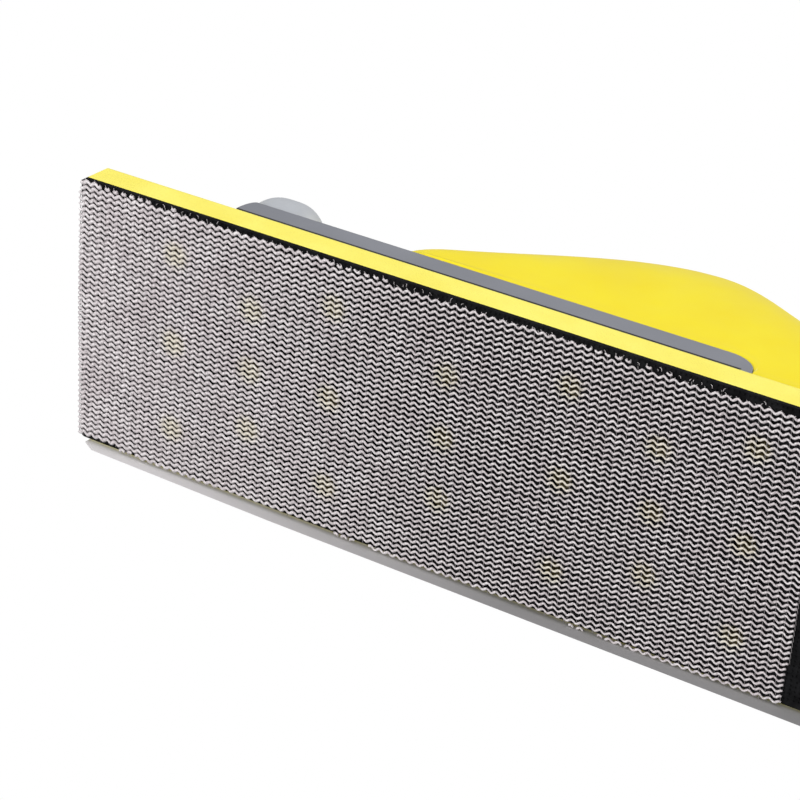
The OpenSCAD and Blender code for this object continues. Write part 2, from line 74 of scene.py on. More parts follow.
# Abrasive net, in millimetres and degrees
NET_LENGTH = 198.0
NET_WIDTH = 70.5
NET_CORNER = (-106.5, -35.4)
NET_SKEW = 0.3
ROW_PITCH = 1.43
ROW_ANGLE = -0.9
WAVE_LENGTH = 2.5
WAVE_ANGLE = 2.6
WAVE_HEIGHT = 0.37
ROW_DRIFT = 0.09
PHASE_DRIFT = 0.35
HEIGHT_SPREAD = 0.22
WIDTH_SPREAD = 0.12
STRAND_WIDTH = 0.71
STRAND_HEIGHT = 0.6
STRAND_LEVEL = 0.4
FRINGE_WIDTH = 0.16
# Strands are fuller towards the nose and thinner towards the rear: a share grows from 0 at
# MIDDLE_X to 1 after NOSE_REACH, and falls to -REAR_THINNESS the other way. NOSE_FULLNESS is
# the extra width where the share is 1.
MIDDLE_X = -20.0
NOSE_REACH = 86.0
NOSE_FULLNESS = 0.45
REAR_THINNESS = 0.35
SAMPLES_PER_WAVE = 6
LINK_WIDTH = 0.2
LINK_LEVEL = 0.6
LINK_LEAN = 0.25
SHORTEST_RUN = 4
END_GAP = 0.1
EDGE_GAP = 0.2
SPARE_ROWS = 6
# How far from a dust hole's middle, in millimetres, and how strongly the net's strands get a painted yellow
# light
PAINTED_LIGHT_REACH = 3.4
PAINTED_LIGHT_STRENGTH = 0.4

# Hook face, in millimetres
HOOK_PITCH = 1.25
HOOK_REACH = 0.48
HOOK_MARGIN = 0.5
HOOK_SCATTER = 0.18
HOOK_CLEARANCE = 0.3
# Share of the reach and radius at each ring, from the root to the flat head's tip
HOOK_PROFILE = ((0.0, 0.14), (0.7, 0.12), (0.78, 0.3), (1.0, 0.2))

# Dust holes, in millimetres from the middle of the pad
HOLE_COLUMNS = (-77.0, -54.3, -31.3, 0.0, 31.3, 54.3, 77.0)
WIDE_ROWS = (-23.5, 0.0, 23.5)
NARROW_ROWS = (-16.0, 0.0, 16.0)
HOLE_RADIUS = 2.7

# Handle and nose, in millimetres; X is measured from the pad's nose
NOSE_X = -106.0
HANDLE_START = 71.0
CROWN_X = 144.0
HANDLE_END = 196.0
CROWN_Z = 72.5
TAIL_Z = 52.2
HANDLE_HALF_WIDTH = 34.9
HANDLE_POWER = 3.9
HANDLE_WALL = 2.6
SLOPE_LENGTH = 22.0
TAIL_ROUND = 12.0
TAIL_NARROWING = 7.0
HOUSING_END = 175.0
REAR_ROUND = 8.0
REAR_DROP = 6.8
SLAB_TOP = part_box("pad_slab")[1].z / MM
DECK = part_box("lower_housing")[1].z / MM + 0.1
TOE = 1.0
RISE_POWER = 1.35
FALL_LENGTH = 42.5
PLAN_POWER = 2.6
LIP_HEIGHT = 1.0
LIP_PROUD = 0.45
NOSE_MID = -61.3
NOSE_HALF_LENGTH = 13.0
NOSE_HALF_WIDTH = 34.5
NOSE_HEIGHT = 18.7
NOSE_LEAN = 2.4
NOSE_POWER = 3.2
NOSE_SHOULDER = 0.65
NOSE_FOOT_SHARE = 0.55
NOSE_UNDERCUT = 6.0
NOSE_WALL = 2.6
INLAY_MID = 141.0
INLAY_HALF_LENGTH = 33.0
INLAY_REACH = 30.0
INLAY_THICKNESS = 1.1

generator = np.random.default_rng(7)


# ---------------------------------------------------------------- small helpers

def clamp(value):
    return min(1.0, max(0.0, value))


def smooth_step(value):
    value = clamp(value)
    return value * value * (3 - 2 * value)


def signed_power(value, power):
    return np.sign(value) * np.abs(value) ** power


def wander(values, wavelength, count=5):
    """A smooth seeded wobble between about -1 and 1 along values."""
    total = np.zeros_like(values, dtype=float)
    for _ in range(count):
        stretch = generator.uniform(0.6, 1.7)
        phase = generator.uniform(0, 2 * math.pi)
        total += np.sin(2 * math.pi * values / (wavelength * stretch) + phase)
    return total / count


def new_object(name, points_mm, faces, body, slot, finish):
    """A mesh object from points in millimetres, riding on a CAD body."""
    mesh = bpy.data.meshes.new(name)
    mesh.from_pydata((np.asarray(points_mm) * MM).tolist(), [], faces)
    mesh.update()
    mesh.materials.append(finish)
    mesh.shade_smooth()
    piece = bpy.data.objects.new(name, mesh)
    bpy.context.scene.collection.objects.link(piece)
    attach(piece, body)
    return piece


def keep_edges_sharp(piece, angle=40):
    piece.data.set_sharp_from_angle(angle=math.radians(angle))


# ---------------------------------------------------------------- materials

def new_material(name, roughness, **sockets):
    """A node material with object coordinates; sockets are set on the shader itself."""
    finish = bpy.data.materials.new(name)
    finish.use_nodes = True
    tree = finish.node_tree
    shader = tree.nodes["Principled BSDF"]
    shader.inputs["Roughness"].default_value = roughness
    for socket, value in sockets.items():
        shader.inputs[socket.replace("_", " ")].default_value = value
    coordinates = tree.nodes.new("ShaderNodeTexCoord")
    return finish, tree, shader, coordinates.outputs["Object"]


def stretched(tree, coordinates, stretch):
    mapping = tree.nodes.new("ShaderNodeMapping")
    mapping.inputs["Scale"].default_value = stretch
    tree.links.new(coordinates, mapping.inputs["Vector"])
    return mapping.outputs["Vector"]


def noise(tree, coordinates, size_mm, detail=3.0, roughness=0.55):
    node = tree.nodes.new("ShaderNodeTexNoise")
    node.inputs["Scale"].default_value = 1 / (size_mm * MM)
    node.inputs["Detail"].default_value = detail
    node.inputs["Roughness"].default_value = roughness
    tree.links.new(coordinates, node.inputs["Vector"])
    return node.outputs["Fac"]


def grains(tree, coordinates, size_mm):
    node = tree.nodes.new("ShaderNodeTexVoronoi")
    node.inputs["Scale"].default_value = 1 / (size_mm * MM)
    tree.links.new(coordinates, node.inputs["Vector"])
    return node.outputs["Distance"]


def spread(tree, value, low, high, to_low=0.0, to_high=1.0):
    node = tree.nodes.new("ShaderNodeMapRange")
    for socket, number in zip(("From Min", "From Max", "To Min", "To Max"), (low, high, to_low, to_high)):
        node.inputs[socket].default_value = number
    tree.links.new(value, node.inputs["Value"])
    return node.outputs["Result"]


def blend_colours(tree, factor, first, second):
    """Mixes two colours, each an RGB tuple or a colour socket."""
    node = tree.nodes.new("ShaderNodeMix")
    node.data_type = "RGBA"
    tree.links.new(factor, node.inputs[0])
    for socket, colour in ((node.inputs[6], first), (node.inputs[7], second)):
        if isinstance(colour, tuple):
            socket.default_value = (*colour, 1)
        else:
            tree.links.new(colour, socket)
    return node.outputs[2]


def add_bump(tree, height, depth_mm, before=None):
    node = tree.nodes.new("ShaderNodeBump")
    node.inputs["Distance"].default_value = depth_mm * MM
    tree.links.new(height, node.inputs["Height"])
    if before is not None:
        tree.links.new(before, node.inputs["Normal"])
    return node.outputs["Normal"]


def rounded_edges(tree, radius_mm):
    node = tree.nodes.new("ShaderNodeBevel")
    node.samples = 6
    node.inputs["Radius"].default_value = radius_mm * MM
    return node.outputs["Normal"]


def edge_mask(tree, rounded):
    """1 along edges and 0 on open faces, from how far the rounded normal turns."""
    geometry = tree.nodes.new("ShaderNodeNewGeometry")
    turn = tree.nodes.new("ShaderNodeVectorMath")
    turn.operation = "DOT_PRODUCT"
    tree.links.new(geometry.outputs["Normal"], turn.inputs[0])
    tree.links.new(rounded, turn.inputs[1])
    return spread(tree, turn.outputs["Value"], 0.995, 0.85)


def moulded_plastic(name, tone, shade, worn, roughness=0.38, grain_mm=0.35, edge_mm=0.35):
    """Spark-eroded moulded plastic: cloudy tone, fine grain, lighter rubbed edges."""
    finish, tree, shader, coordinates = new_material(name, roughness, Specular_IOR_Level=0.35)
    clouds = spread(tree, noise(tree, coordinates, 22), 0.35, 0.65)
    colour = blend_colours(tree, clouds, shade, tone)
    rounded = rounded_edges(tree, edge_mm)
    scuffs = spread(tree, noise(tree, coordinates, 1.6, 5), 0.42, 0.6)
    wear = math_node(tree, "MULTIPLY", edge_mask(tree, rounded), scuffs)
    colour = blend_colours(tree, wear, colour, worn)
    tree.links.new(colour, shader.inputs["Base Color"])
    polish = spread(tree, noise(tree, coordinates, 9, 4), 0.3, 0.7, roughness - 0.05, roughness + 0.08)
    tree.links.new(polish, shader.inputs["Roughness"])
    skin = add_bump(tree, noise(tree, coordinates, grain_mm, 2), 0.018, rounded)
    tree.links.new(skin, shader.inputs["Normal"])
    return finish


def math_node(tree, operation, first, second=0.0):
    """A Math node on a socket and a second socket or number."""
    node = tree.nodes.new("ShaderNodeMath")
    node.operation = operation
    tree.links.new(first, node.inputs[0])
    if isinstance(second, float):
        node.inputs[1].default_value = second
    else:
        tree.links.new(second, node.inputs[1])
    return node.outputs["Value"]


def hole_wall_shade_mask(tree, coordinates):
    """1 on the walls of the pad's dust holes and feeders, where the foam gets its painted shade, 0 on its
    outer faces.
    """
    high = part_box("pad_slab")[1]
    place = tree.nodes.new("ShaderNodeSeparateXYZ")
    tree.links.new(coordinates, place.inputs[0])
    inner = math_node(tree, "LESS_THAN", place.outputs["Z"], high.z - MM / 20)
    for axis, reach in (("X", high.x), ("Y", high.y)):
        off_middle = math_node(tree, "ABSOLUTE", place.outputs[axis])
        inner = math_node(tree, "MULTIPLY", inner, math_node(tree, "LESS_THAN", off_middle, reach - MM / 2))
    return inner


def pad_foam():
    """Cut polyurethane: fine open cells, faint drag lines along the cut, and painted shade on the walls of
    its dust holes and feeders.
    """
    finish, tree, shader, coordinates = new_material("pad_foam", 0.72, Sheen_Weight=0.15)
    clouds = spread(tree, noise(tree, coordinates, 14), 0.35, 0.65)
    colour = blend_colours(tree, clouds, (0.95, 0.83, 0.09), (0.98, 0.89, 0.13))
    cells = grains(tree, coordinates, 0.42)
    pits = spread(tree, cells, 0.05, 0.3)
    colour = blend_colours(tree, pits, (0.86, 0.72, 0.08), colour)
    # Painted shade: the walls inside the dust holes and feeders are coloured dark brown in place of the
    # shade that falls in them
    colour = blend_colours(tree, hole_wall_shade_mask(tree, coordinates), colour, (0.16, 0.12, 0.03))
    tree.links.new(colour, shader.inputs["Base Color"])
    drag = noise(tree, stretched(tree, coordinates, (0.06, 1, 1)), 0.5)
    skin = add_bump(tree, drag, 0.05, rounded_edges(tree, 0.4))
    skin = add_bump(tree, cells, 0.07, skin)
    tree.links.new(skin, shader.inputs["Normal"])
    return finish


def link_yarn():
    """The finer yarn that ties neighbouring rows of the net together, coloured dark grey as painted shade
    for the gaps it lies in.
    """
    finish, tree, shader, coordinates = new_material("link_yarn", 0.8)
    fibres = spread(tree, noise(tree, coordinates, 0.15, 3), 0.35, 0.65)
    # Painted shade: the dark grey stands for the shade the links lie in, in the gaps between rows
    colour = blend_colours(tree, fibres, (0.17, 0.155, 0.16), (0.32, 0.3, 0.305))
    tree.links.new(colour, shader.inputs["Base Color"])
    tree.links.new(add_bump(tree, fibres, 0.03), shader.inputs["Normal"])
    return finish


def abrasive_coat():
    """Pale aluminium oxide grit on knitted yarn, a little darker and dustier in patches, with a painted
    yellow light on the strands near the pad's dust holes.
    """
    finish, tree, shader, coordinates = new_material("abrasive_coat", 0.62)
    patches = spread(tree, noise(tree, coordinates, 11, 4), 0.35, 0.65)
    colour = blend_colours(tree, patches, (0.78, 0.715, 0.73), (0.9, 0.86, 0.87))
    flecks = spread(tree, noise(tree, coordinates, 0.5, 4), 0.35, 0.62)
    colour = blend_colours(tree, flecks, (0.46, 0.41, 0.425), colour)
    # Painted light: strands near the dust holes are tinted yellow, standing in for light from the yellow
    # foam showing through the holes
    painted_light = tree.nodes.new("ShaderNodeAttribute")
    painted_light.attribute_name = "painted_hole_light"
    colour = blend_colours(tree, painted_light.outputs["Fac"], colour, (0.84, 0.78, 0.5))
    tree.links.new(colour, shader.inputs["Base Color"])
    skin = add_bump(tree, grains(tree, coordinates, 0.16), 0.09)
    tree.links.new(skin, shader.inputs["Normal"])
    return finish


def hook_fabric():
    finish, tree, shader, coordinates = new_material("hook_fabric", 0.75, Specular_IOR_Level=0.06)
    clouds = spread(tree, noise(tree, coordinates, 3), 0.35, 0.65)
    colour = blend_colours(tree, clouds, (0.004, 0.004, 0.0045), (0.011, 0.011, 0.012))
    tree.links.new(colour, shader.inputs["Base Color"])
    skin = add_bump(tree, grains(tree, coordinates, 0.6), 0.15)
    tree.links.new(skin, shader.inputs["Normal"])
    return finish


def soft_grip():
    """Soft-touch rubber with a pattern of small raised dots."""
    finish, tree, shader, coordinates = new_material("soft_grip", 0.7, Sheen_Weight=0.1)
    clouds = spread(tree, noise(tree, coordinates, 9), 0.35, 0.65)
    colour = blend_colours(tree, clouds, (0.035, 0.036, 0.04), (0.055, 0.056, 0.062))
    dots = tree.nodes.new("ShaderNodeTexVoronoi")
    dots.inputs["Scale"].default_value = 1 / (2.4 * MM)
    dots.inputs["Randomness"].default_value = 0.0
    tree.links.new(stretched(tree, coordinates, (1, 1, 0.02)), dots.inputs["Vector"])
    raised = spread(tree, dots.outputs["Distance"], 0.38, 0.22)
    colour = blend_colours(tree, raised, colour, (0.085, 0.087, 0.094))
    tree.links.new(colour, shader.inputs["Base Color"])
    skin = add_bump(tree, raised, 0.4)
    skin = add_bump(tree, noise(tree, coordinates, 0.2, 2), 0.02, skin)
    tree.links.new(skin, shader.inputs["Normal"])
    return finish


def rubber(name, dark, light, roughness):
    finish, tree, shader, coordinates = new_material(name, roughness)
    clouds = spread(tree, noise(tree, coordinates, 4), 0.35, 0.65)
    tree.links.new(blend_colours(tree, clouds, dark, light), shader.inputs["Base Color"])
    skin = add_bump(tree, noise(tree, coordinates, 0.3, 3), 0.03)
    tree.links.new(skin, shader.inputs["Normal"])
    return finish


def zinc_steel():
    finish, tree, shader, coordinates = new_material("zinc_steel", 0.3, Metallic=1.0)
    clouds = spread(tree, noise(tree, coordinates, 1.5, 4), 0.35, 0.65)
    colour = blend_colours(tree, clouds, (0.5, 0.5, 0.52), (0.68, 0.68, 0.69))
    tree.links.new(colour, shader.inputs["Base Color"])
    streaks = noise(tree, stretched(tree, coordinates, (1, 1, 0.1)), 0.2)
    polish = spread(tree, streaks, 0.3, 0.7, 0.22, 0.42)
    tree.links.new(polish, shader.inputs["Roughness"])
    tree.links.new(add_bump(tree, streaks, 0.01, rounded_edges(tree, 0.15)), shader.inputs["Normal"])
    return finish


YELLOW = moulded_plastic("yellow_plastic", (0.95, 0.79, 0.012), (0.93, 0.75, 0.008), (0.97, 0.86, 0.16))
GREY = moulded_plastic("grey_plastic", (0.235, 0.243, 0.275), (0.21, 0.218, 0.247), (0.36, 0.37, 0.4))
NOSE_GREY = moulded_plastic(
    "light_grey_plastic", (0.53, 0.55, 0.585), (0.48, 0.5, 0.535), (0.56, 0.57, 0.59), roughness=0.42
)
BLACK = moulded_plastic(
    "black_plastic", (0.014, 0.014, 0.016), (0.01, 0.01, 0.011), (0.035, 0.035, 0.038), edge_mm=0.25
)
FOAM = pad_foam()
COAT = abrasive_coat()
LINKS = link_yarn()
HOOKS = hook_fabric()
GRIP = soft_grip()
SEAL = rubber("seal_rubber", (0.012, 0.012, 0.013), (0.022, 0.022, 0.023), 0.62)
ACETAL = rubber("white_acetal", (0.72, 0.72, 0.7), (0.8, 0.8, 0.78), 0.34)
STEEL = zinc_steel()


# ---------------------------------------------------------------- camera, light, floor

def place_camera():
    azimuth = math.radians(VIEW_AZIMUTH)
    elevation = math.radians(VIEW_ELEVATION)
    back = Vector((
        math.sin(azimuth) * math.cos(elevation),
        -math.cos(azimuth) * math.cos(elevation),
        math.sin(elevation),
    ))
    turn = (-back).to_track_quat("-Z", "Y").to_matrix() @ Matrix.Rotation(math.radians(VIEW_ROLL), 3, "Z")
    camera = bpy.data.objects.new("camera", bpy.data.cameras.new("camera"))
    camera.data.lens = LENS
    camera.data.sensor_width = 36
    camera.matrix_world = Matrix.Translation(VIEW_AIM + back * VIEW_DISTANCE) @ turn.to_4x4()
    camera.data.clip_start = 0.01
    bpy.context.scene.collection.objects.link(camera)
    bpy.context.scene.camera = camera


def softbox(name, place, size, power, aim=(0.0, 0.0, 0.02)):
    lamp = bpy.data.lights.new(name, "AREA")
    lamp.shape = "DISK"
    lamp.size = size
    lamp.energy = power
    holder = bpy.data.objects.new(name, lamp)
    holder.location = place
    holder.rotation_mode = "QUATERNION"
    holder.rotation_quaternion = (Vector(aim) - Vector(place)).to_track_quat("-Z", "Y")
    bpy.context.scene.collection.objects.link(holder)


def studio_world():
    """Even pale light all round, and pure white where the camera sees past everything."""
    world = bpy.data.worlds.new("studio")
    bpy.context.scene.world = world
    world.use_nodes = True
    tree = world.node_tree
    tree.nodes.clear()
    path = tree.nodes.new("ShaderNodeLightPath")
    seen = tree.nodes.new("ShaderNodeBackground")
    seen.inputs["Color"].default_value = (1.0, 1.0, 1.0, 1)
    seen.inputs["Strength"].default_value = 1.0
    lit = tree.nodes.new("ShaderNodeBackground")
    lit.inputs["Color"].default_value = (1.0, 1.0, 1.0, 1)
    lit.inputs["Strength"].default_value = 0.46
    mixed = tree.nodes.new("ShaderNodeMixShader")
    output = tree.nodes.new("ShaderNodeOutputWorld")
    tree.links.new(path.outputs["Is Camera Ray"], mixed.inputs[0])
    tree.links.new(lit.outputs[0], mixed.inputs[1])
    tree.links.new(seen.outputs[0], mixed.inputs[2])
    tree.links.new(mixed.outputs[0], output.inputs["Surface"])


def single_sided(name, colour):
    """A matte stage material that can't be seen from behind."""
    finish, tree, shader, coordinates = new_material(name, 0.9)
    clouds = spread(tree, noise(tree, coordinates, 60), 0.35, 0.65)
    tint = blend_colours(tree, clouds, tuple(0.985 * c for c in colour), colour)
    tree.links.new(tint, shader.inputs["Base Color"])
    geometry = tree.nodes.new("ShaderNodeNewGeometry")
    clear = tree.nodes.new("ShaderNodeBsdfTransparent")
    mixed = tree.nodes.new("ShaderNodeMixShader")
    tree.links.new(geometry.outputs["Backfacing"], mixed.inputs[0])
    tree.links.new(shader.outputs[0], mixed.inputs[1])
    tree.links.new(clear.outputs[0], mixed.inputs[2])
    tree.links.new(mixed.outputs[0], tree.nodes["Material Output"].inputs["Surface"])
    return finish


def stage_sheet(name, corners, finish):
    """A flat stage surface that neither shades nor lights the object."""
    mesh = bpy.data.meshes.new(name)
    mesh.from_pydata(corners, [], [tuple(range(len(corners)))])
    mesh.materials.append(finish)
    sheet = bpy.data.objects.new(name, mesh)
    sheet.visible_shadow = False
    sheet.visible_diffuse = False
    sheet.visible_glossy = False
    bpy.context.scene.collection.objects.link(sheet)


def contact_shade():
    """The contact shadow's grey, which fades out towards the nose."""
    finish = single_sided("contact_shade", (0.45, 0.45, 0.47))
    tree = finish.node_tree
    coordinates = tree.nodes.new("ShaderNodeTexCoord")
    place = tree.nodes.new("ShaderNodeSeparateXYZ")
    tree.links.new(coordinates.outputs["Object"], place.inputs[0])
    fade = spread(tree, place.outputs["X"], cad_low.x, 0.02)
    tint = blend_colours(tree, fade, (0.76, 0.74, 0.75), (0.29, 0.285, 0.29))
    tree.links.new(tint, tree.nodes["Principled BSDF"].inputs["Base Color"])
    return finish


def build_stage():
    reach = 3.0
    level = cad_low.z - STAGE_GAP
    floor = [(-reach, -reach, level), (reach, -reach, level), (reach, reach, level), (-reach, reach, level)]
    stage_sheet("floor", floor, single_sided("pale_floor", (0.86, 0.86, 0.86)))
    # The block is photographed standing on its +Y side. A narrow shaded strip beside
    # that side, which only shows from below, stands for its contact shadow.
    side = cad_high.y + STAGE_GAP
    low = -0.0034
    tapered = -0.0024
    pad_low, pad_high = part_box("hook_face")
    high = pad_low.z + 0.0016
    nose = pad_low.x + 0.002
    rear = pad_high.x - 0.001
    strip = [
        (nose, side, 0.0),
        (nose + 0.004, side, tapered),
        (nose + 0.06, side, low),
        (rear, side, low),
        (rear, side, high),
        (nose, side, high),
    ]
    stage_sheet("contact_strip", strip, contact_shade())


place_camera()
studio_world()
build_stage()
bpy.context.scene.view_settings.view_transform = "Standard"
softbox("key_above", (0.4, -0.35, 0.85), 0.6, 4.5)
softbox("fill_rear", (-0.6, 0.5, 0.6), 0.7, 3.0)
softbox("key_side", (-0.1, -0.9, -0.25), 0.7, 2.9)
softbox("fill_below", (-0.2, -0.3, -0.9), 0.8, 6.6)


def hole_distance(x, y):
    """Distance in millimetres to the middle of the nearest dust hole."""
    nearest = np.full(len(x), 1000.0)
    for index, column in enumerate(HOLE_COLUMNS):
        for row in WIDE_ROWS if index % 2 == 0 else NARROW_ROWS:
            nearest = np.minimum(nearest, np.hypot(x - column, y - row))
    return nearest


# ---------------------------------------------------------------- abrasive net

def cad_to_net(x, y):
    """From CAD X and Y to places along and across the sheet, in millimetres."""
    turn = math.radians(NET_SKEW)
    dx = x - NET_CORNER[0]
    dy = y - NET_CORNER[1]
    return dx * math.cos(turn) + dy * math.sin(turn), dy * math.cos(turn) - dx * math.sin(turn)


def row_line(index, x):
    """Y and width factor of one knitted row at CAD X."""
    slope = math.tan(math.radians(ROW_ANGLE))
    middle = NET_CORNER[1] + (index + 0.5) * ROW_PITCH + slope * (x - NET_CORNER[0])
    middle = middle + ROW_DRIFT * wander(x, 23)
    turn = math.radians(WAVE_ANGLE)
    phase = 2 * math.pi * (x * math.cos(turn) + middle * math.sin(turn)) / WAVE_LENGTH
    phase = phase + PHASE_DRIFT * wander(x, 14)
    height = WAVE_HEIGHT * (1 + HEIGHT_SPREAD * wander(x, 6))
    wave = height * np.sin(phase)
    width = 1 + WIDTH_SPREAD * wander(x, 4) - WIDTH_SPREAD * np.cos(phase)
    share = np.clip((MIDDLE_X - x) / NOSE_REACH, -REAR_THINNESS, 1)
    width = width * (1 + NOSE_FULLNESS * share)
    return middle + wave, width


def tube(points, side, width, height):
    """A four-sided strand along points, as its own points and quads with end caps."""
    count = len(points)
    rings = np.stack([
        points + side * (width / 2)[:, None],
        points + np.array([0, 0, 1]) * (height / 2)[:, None],
        points - side * (width / 2)[:, None],
        points - np.array([0, 0, 1]) * (height / 2)[:, None],
    ], axis=1).reshape(-1, 3)
    faces = [
        (4 * i + j, 4 * i + 4 + j, 4 * i + 4 + (j + 1) % 4, 4 * i + (j + 1) % 4)
        for i in range(count - 1)
        for j in range(4)
    ]
    last = 4 * (count - 1)
    faces += [(0, 1, 2, 3), (last + 3, last + 2, last + 1, last)]
    return rings, faces


def strand(x, y, width, lift):
    """One run of a knitted row, as wide as its width factor says."""
    points = np.stack([x, y, STRAND_LEVEL + lift], axis=1)
    heading = np.gradient(points, axis=0)
    side = np.stack([-heading[:, 1], heading[:, 0], np.zeros(len(x))], axis=1)
    side /= np.linalg.norm(side, axis=1)[:, None]
    return tube(points, side, STRAND_WIDTH * width, STRAND_HEIGHT * np.ones(len(x)))


def thread(points, thickness):
    """A thin yarn through a few points, flat to CAD X."""
    count = len(points)
    side = np.array([[1.0, 0.0, 0.0]] * count)
    return tube(points, side, np.full(count, thickness), np.full(count, thickness))


def link(first, second):
    """A yarn that ties two neighbouring rows together, between two places in X and Y."""
    return thread(np.array([[*first, LINK_LEVEL], [*second, LINK_LEVEL]]), LINK_WIDTH)


def loose_end(x, y):
    """A broken end of yarn that sticks out past the sheet's long edge."""
    reach = generator.uniform(0.35, 0.85)
    lean = generator.uniform(-0.6, 0.6)
    bend = [x + 0.3 * lean, y - 0.6 * reach, STRAND_LEVEL + 0.15]
    return thread(np.array([[x, y, STRAND_LEVEL], bend, [x + lean, y - reach, STRAND_LEVEL]]), FRINGE_WIDTH)


def runs_inside(inside):
    """Start and end of each unbroken stretch of True that is long enough to keep."""
    edges = np.flatnonzero(np.diff(np.concatenate([[0], inside.astype(int), [0]])))
    return [(a, b) for a, b in zip(edges[::2], edges[1::2]) if b - a >= SHORTEST_RUN]


def join_parts(parts):
    """All the points and faces of several parts as one mesh."""
    points, faces, start = [], [], 0
    for part_points, part_faces in parts:
        points.append(part_points)
        faces += [tuple(start + v for v in face) for face in part_faces]
        start += len(part_points)
    return np.concatenate(points), faces


def build_net():
    """Knitted rows clipped to the sheet's outline, tied by links, with a frayed -Y edge."""
    step = WAVE_LENGTH / SAMPLES_PER_WAVE
    x = np.arange(NET_CORNER[0] - 2, NET_CORNER[0] + NET_LENGTH + 2, step)
    rows = int(NET_WIDTH / ROW_PITCH) + SPARE_ROWS
    strands, links, upper = [], [], None
    for index in range(-1, rows):
        y, width = row_line(index, x)
        along, across = cad_to_net(x, y)
        frayed = 0.25 * wander(x, 9)
        inside = (along > END_GAP) & (along < NET_LENGTH - END_GAP)
        inside &= (across > EDGE_GAP + frayed) & (across < NET_WIDTH + EDGE_GAP + frayed)
        lift = 0.03 * wander(x, 5)
        for first, last in runs_inside(inside):
            part = slice(first, last)
            strands.append(strand(x[part], y[part], width[part], lift[part]))
        edge = inside & (across < ROW_PITCH)
        strands += [loose_end(x[place], y[place]) for place in np.flatnonzero(edge)[::2]]
        if upper is not None:
            both = inside & upper[1]
            for place in np.flatnonzero(both)[::SAMPLES_PER_WAVE]:
                links.append(link((x[place], upper[0][place]), (x[place] + LINK_LEAN, y[place])))
        upper = (y, inside)
    points, faces = join_parts(strands)
    net = new_object("net_strands", points, faces, "abrasive_sheet", "abrasive_mesh", COAT)
    # Painted light: how strongly each strand point is tinted yellow near a dust hole
    painted_light = PAINTED_LIGHT_STRENGTH * np.exp(-(hole_distance(points[:, 0], points[:, 1]) / PAINTED_LIGHT_REACH) ** 4)
    net.data.attributes.new("painted_hole_light", "FLOAT", "POINT").data.foreach_set("value", painted_light.astype(np.float32))
    threads = new_object("net_links", *join_parts(links), "abrasive_sheet", "abrasive_mesh", LINKS)
    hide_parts("abrasive_net")


build_net()


# ---------------------------------------------------------------- hook pile

def build_hooks():
    """Short stems with flat heads, which the net's loops hang on."""
    low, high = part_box("hook_face")
    low, high = low / MM, high / MM
    xs = np.arange(low.x + HOOK_MARGIN, high.x - HOOK_MARGIN, HOOK_PITCH)
    ys = np.arange(low.y + HOOK_MARGIN, high.y - HOOK_MARGIN, HOOK_PITCH)
    x, y = (values.ravel() for values in np.meshgrid(xs, ys))
    x = x + generator.uniform(-HOOK_SCATTER, HOOK_SCATTER, len(x))
    y = y + generator.uniform(-HOOK_SCATTER, HOOK_SCATTER, len(y))
    free = hole_distance(x, y) > HOLE_RADIUS + HOOK_CLEARANCE
    x, y = x[free], y[free]
    reach = HOOK_REACH * generator.uniform(0.85, 1.1, len(x))
    top = low.z + 0.05
    corners = [(1, 0), (0, 1), (-1, 0), (0, -1)]
    points = np.stack([
        np.stack([x + radius * cx, y + radius * cy, top - depth * reach], axis=1)
        for depth, radius in HOOK_PROFILE
        for cx, cy in corners
    ], axis=1)
    sides = [
        (4 * ring + j, 4 * ring + 4 + j, 4 * ring + 4 + (j + 1) % 4, 4 * ring + (j + 1) % 4)
        for ring in range(3)
        for j in range(4)
    ]
    one = sides + [(12, 15, 14, 13)]
    faces = [tuple(16 * k + v for v in face) for k in range(len(x)) for face in one]
    new_object("hook_pile", points.reshape(-1, 3), faces, "block", "hook_fabric", HOOKS)


build_hooks()


# ---------------------------------------------------------------- handle and nose

def handle_top(x):
    """Height of the handle's back above the sanding face."""
    if x < CROWN_X:
        rise = math.sin(math.pi / 2 * clamp((x - HANDLE_START) / (CROWN_X - HANDLE_START)))
        return DECK + TOE + (CROWN_Z - DECK - TOE) * rise ** RISE_POWER
    return CROWN_Z - (CROWN_Z - TAIL_Z) * smooth_step((x - CROWN_X) / FALL_LENGTH)


def handle_half(x):
    """Half the handle's width."""
    front = clamp((x - HANDLE_START + 1.5) / SLOPE_LENGTH)
    rear = clamp((x - HANDLE_END + TAIL_ROUND) / TAIL_ROUND)
    widest = HANDLE_HALF_WIDTH - TAIL_NARROWING * rear ** 2.2
    return widest * (1 - (1 - front) ** PLAN_POWER) ** (1 / PLAN_POWER)


def handle_base(x):
    """Height of the handle's lower edge, which drops round the housing's rear end."""
    t = (x - HOUSING_END + REAR_ROUND - 0.1) / REAR_ROUND
    if t <= 0:
        return DECK
    if t < 1:
        return DECK - REAR_DROP * (1 - math.sqrt(1 - t * t))
    return SLAB_TOP + 0.1


def arch_angles(reach, steps=36):
    """Angles from +Y over the top to -Y, closer together near the sides."""
    half = 90 - reach + reach * np.linspace(0, 1, steps) ** (1.7 if reach > 60 else 1.0)
    return np.radians(np.concatenate([half, 180 - half[-2::-1]]))


def arch(x, grow, reach):
    """The handle's cross section at x from the nose, as CAD points in millimetres.

    It springs from the deck's level, and a full arch runs straight down from there
    to the handle's lower edge.
    """
    angles = arch_angles(reach)
    half = handle_half(x) + grow
    y = half * signed_power(np.cos(angles), 2 / HANDLE_POWER)
    z = DECK + (handle_top(x) + grow - DECK) * np.abs(np.sin(angles)) ** (2 / HANDLE_POWER)
    if reach == 90 and handle_base(x) < DECK:
        y = np.concatenate([[half], y, [-half]])
        z = np.concatenate([[handle_base(x)], z, [handle_base(x)]])
    return np.stack([np.full(len(y), x + NOSE_X), y, z], axis=1)


